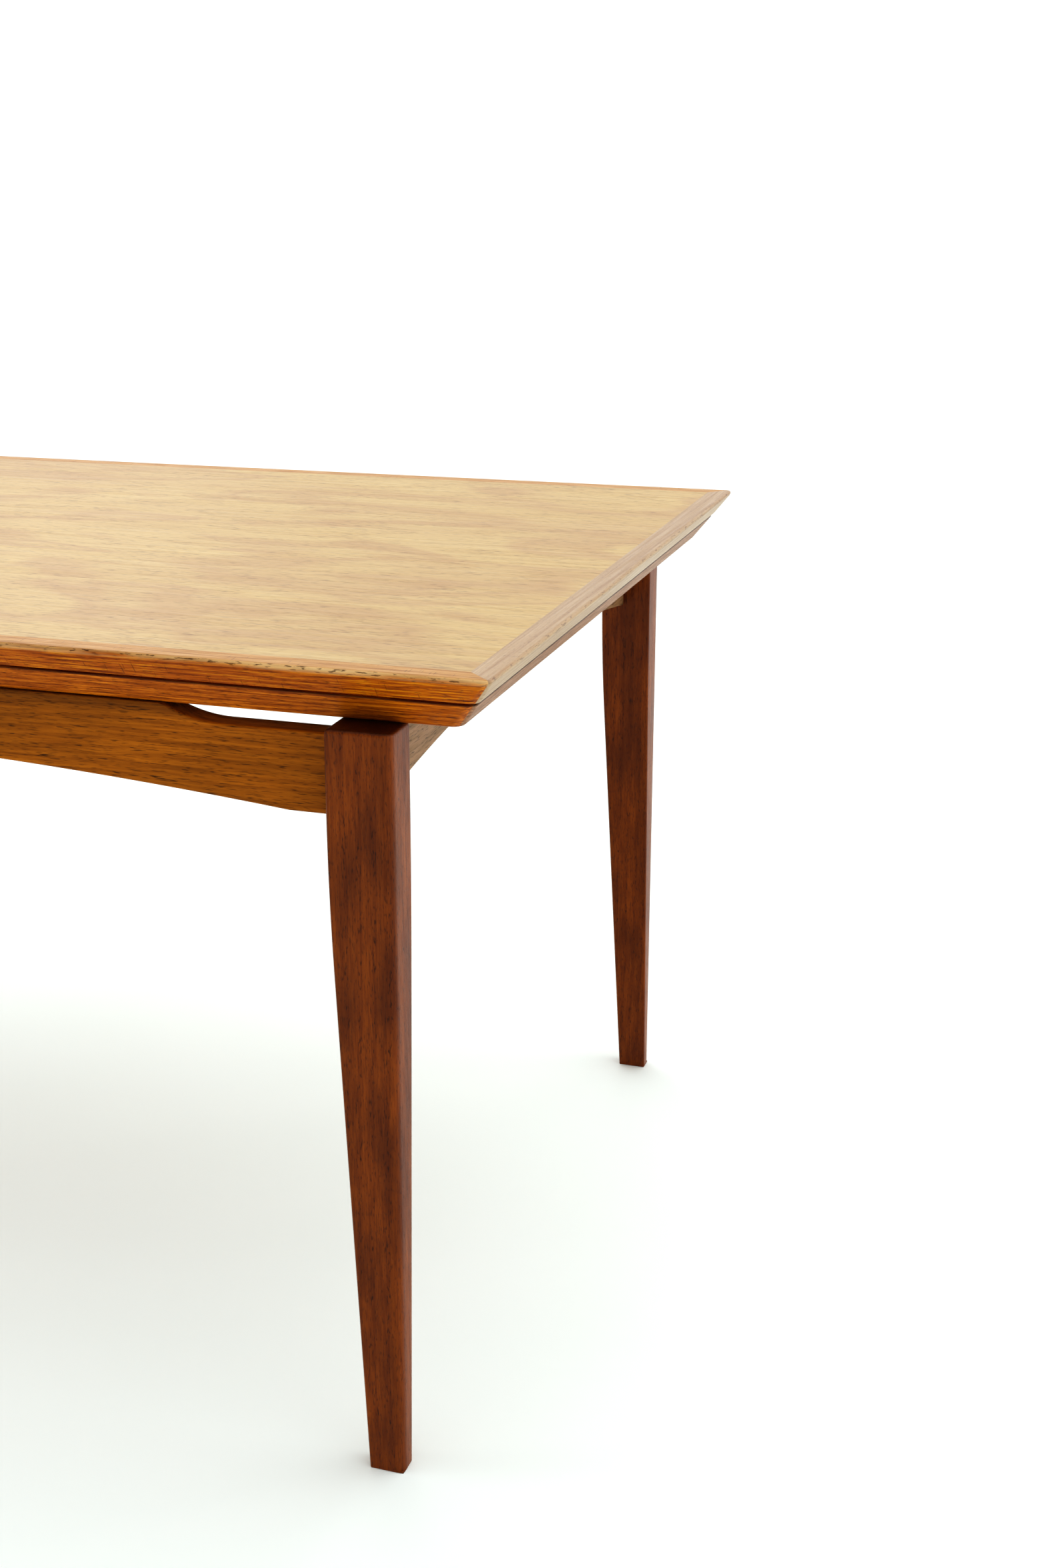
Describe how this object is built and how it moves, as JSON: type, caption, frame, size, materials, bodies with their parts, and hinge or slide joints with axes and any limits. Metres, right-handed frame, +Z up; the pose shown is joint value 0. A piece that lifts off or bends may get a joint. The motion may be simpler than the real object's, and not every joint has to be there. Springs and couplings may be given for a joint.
{
  "type": "draw leaf dining table",
  "caption": "Extending dining table: a loose veneered top lies over two leaves that pull out from its ends on wooden lopers, on an arched apron frame with tapered legs.",
  "frame": {"origin": "on the floor under the middle of the closed table", "axes": "+X along the table's length, +Y across it to the back, +Z up"},
  "size_m": [1.4, 0.9, 0.73],
  "materials": {
    "teak_top_veneer": "oiled teak veneer, worn satin",
    "teak_top_lipping": "oiled solid teak, worn edge",
    "teak_end_band": "oiled solid teak, cross grain",
    "teak_leaf_veneer": "oiled teak veneer, satin",
    "teak_leaf_lipping": "oiled solid teak",
    "teak_legs": "oiled solid teak, satin",
    "teak_aprons": "oiled teak, satin",
    "core_board": "veneered board, matte underside",
    "beech": "waxed beech",
    "screw_steel": "plain steel",
    "felt": "wool felt"
  },
  "bodies": {
    "frame": {"leg_front_right": "teak_legs", "leg_front_left": "teak_legs", "leg_back_right": "teak_legs", "leg_back_left": "teak_legs", "side_apron_front": "teak_aprons", "side_apron_back": "teak_aprons", "end_apron_right": "teak_aprons", "end_apron_left": "teak_aprons", "corner_block_front_right": "beech", "corner_block_front_left": "beech", "corner_block_back_right": "beech", "corner_block_back_left": "beech", "corner_block_screws": "screw_steel", "cross_rail_right": "beech", "cross_rail_left": "beech", "cross_rail_screws": "screw_steel", "centre_core": "core_board", "centre_veneer": "teak_leaf_veneer", "centre_lipping_front": "teak_leaf_lipping", "centre_lipping_back": "teak_leaf_lipping", "felt_strips": "felt"},
    "main_top": {"top_core": "core_board", "top_veneer": "teak_top_veneer", "top_lipping_front": "teak_top_lipping", "top_lipping_back": "teak_top_lipping", "top_end_band_right": "teak_end_band", "top_end_band_left": "teak_end_band", "guide_pegs": "beech"},
    "leaf_right": {"leaf_right_core": "core_board", "leaf_right_veneer": "teak_leaf_veneer", "leaf_right_lipping_front": "teak_leaf_lipping", "leaf_right_lipping_back": "teak_leaf_lipping", "leaf_right_end_band": "teak_leaf_lipping", "leaf_right_inner_lipping": "teak_leaf_lipping", "leaf_right_loper_front": "beech", "leaf_right_loper_back": "beech", "leaf_right_stop_pegs": "beech", "leaf_right_screws": "screw_steel"},
    "leaf_left": {"leaf_left_core": "core_board", "leaf_left_veneer": "teak_leaf_veneer", "leaf_left_lipping_front": "teak_leaf_lipping", "leaf_left_lipping_back": "teak_leaf_lipping", "leaf_left_end_band": "teak_leaf_lipping", "leaf_left_inner_lipping": "teak_leaf_lipping", "leaf_left_loper_front": "beech", "leaf_left_loper_back": "beech", "leaf_left_stop_pegs": "beech", "leaf_left_screws": "screw_steel"}
  },
  "joints": [
    {"name": "right_leaf_slide", "type": "slide", "parent": "frame", "child": "leaf_right", "axis": [1, 0, 0], "range_m": [0, 0.521]},
    {"name": "left_leaf_slide", "type": "slide", "parent": "frame", "child": "leaf_left", "axis": [-1, 0, 0], "range_m": [0, 0.521]},
    {"name": "top_lift", "type": "slide", "parent": "frame", "child": "main_top", "axis": [0, 0, 1], "range_m": [0, 0.03]}
  ]
}
